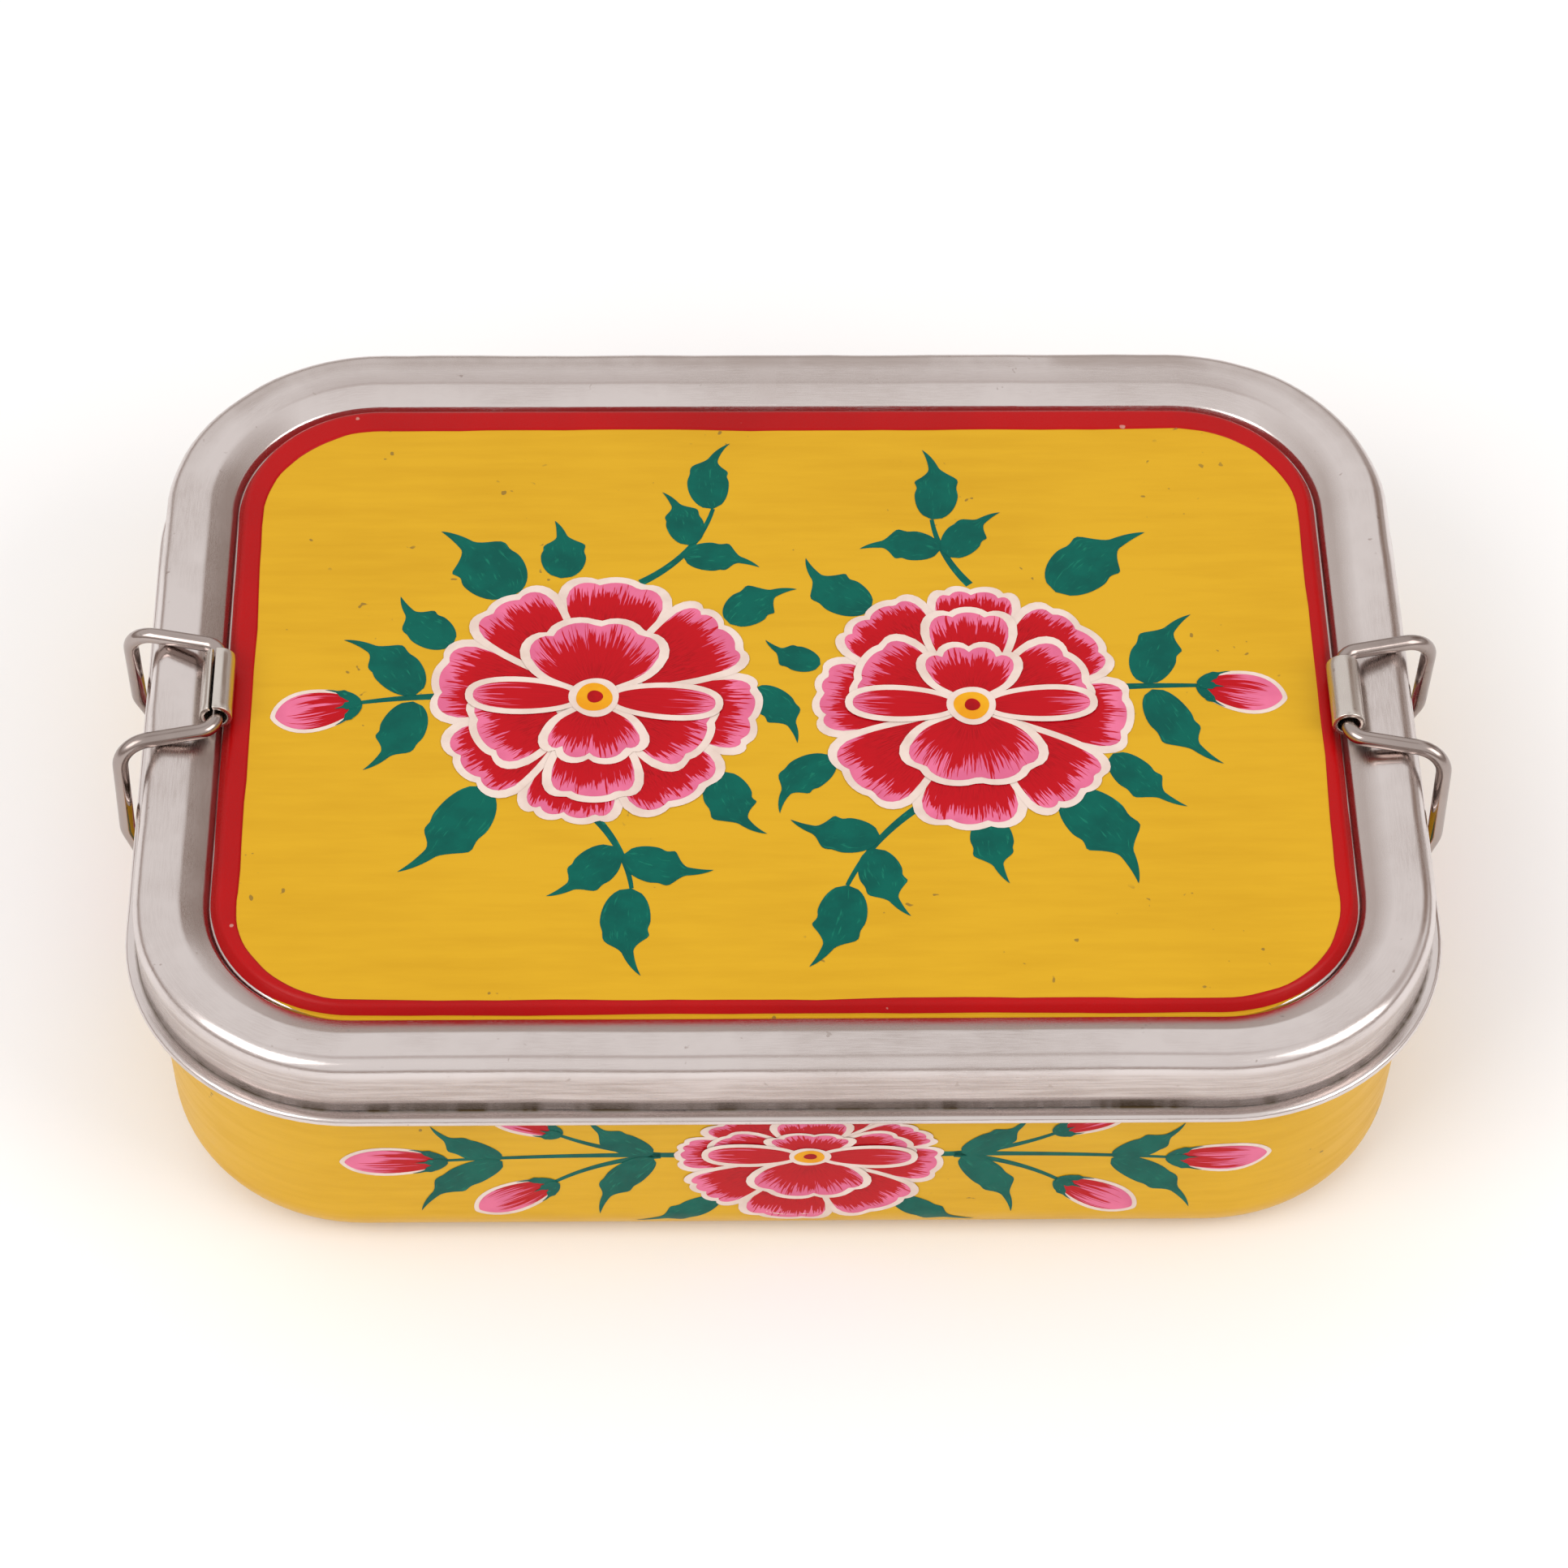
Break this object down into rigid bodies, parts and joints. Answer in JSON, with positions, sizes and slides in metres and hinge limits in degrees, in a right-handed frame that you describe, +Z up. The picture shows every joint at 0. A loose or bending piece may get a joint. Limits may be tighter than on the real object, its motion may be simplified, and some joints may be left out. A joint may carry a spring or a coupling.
{
  "type": "tiffin box",
  "caption": "Single-tier rectangular steel tiffin lunch box with a painted lift-off lid and a swinging wire clip at each end.",
  "frame": {"origin": "centre of the flat underside that the box rests on", "axes": "+X along the length towards the right-hand clip, +Y towards the back, +Z up"},
  "size_m": [0.1866, 0.1354, 0.0495],
  "materials": {
    "tray_steel": "worn bright stainless sheet",
    "lid_steel": "worn bright stainless sheet, brushed in places",
    "strap_steel": "plain stainless strip",
    "wire_steel": "drawn bright stainless wire",
    "sleeve_steel": "rolled stainless strip",
    "yellow_enamel": "brushed-on yellow enamel paint, satin gloss",
    "red_enamel": "brushed-on red enamel paint, gloss"
  },
  "bodies": {
    "tray": {"tray": "tray_steel", "tray_enamel": "yellow_enamel", "left_bracket": "strap_steel", "right_bracket": "strap_steel"},
    "lid": {"lid": "lid_steel", "lid_enamel": "yellow_enamel", "lid_red_border": "red_enamel"},
    "left_clip": {"left_bail": "wire_steel"},
    "left_grip": {"left_sleeve": "sleeve_steel"},
    "right_clip": {"right_bail": "wire_steel"},
    "right_grip": {"right_sleeve": "sleeve_steel"}
  },
  "joints": [
    {"name": "lid_lift", "type": "slide", "parent": "tray", "child": "lid", "axis": [0, 0, 1], "range_m": [0, 0.0066]},
    {"name": "left_clip_swing", "type": "hinge", "parent": "tray", "child": "left_clip", "pos_m": [-0.09, -0.001, 0.025], "axis": [0, -1, 0], "range_deg": [0, 165]},
    {"name": "right_clip_swing", "type": "hinge", "parent": "tray", "child": "right_clip", "pos_m": [0.09, -0.003, 0.025], "axis": [0, 1, 0], "range_deg": [0, 165]},
    {"name": "left_sleeve_turn", "type": "hinge", "parent": "left_clip", "child": "left_grip", "pos_m": [-0.079, -0.001, 0.04725], "axis": [0, 1, 0], "continuous": true},
    {"name": "right_sleeve_turn", "type": "hinge", "parent": "right_clip", "child": "right_grip", "pos_m": [0.079, -0.003, 0.04725], "axis": [0, 1, 0], "continuous": true}
  ],
  "couplings": [
    {"joint": "left_clip_swing", "follows": "lid_lift", "rad_per_m": 436.3},
    {"joint": "right_clip_swing", "follows": "lid_lift", "rad_per_m": 436.3}
  ]
}
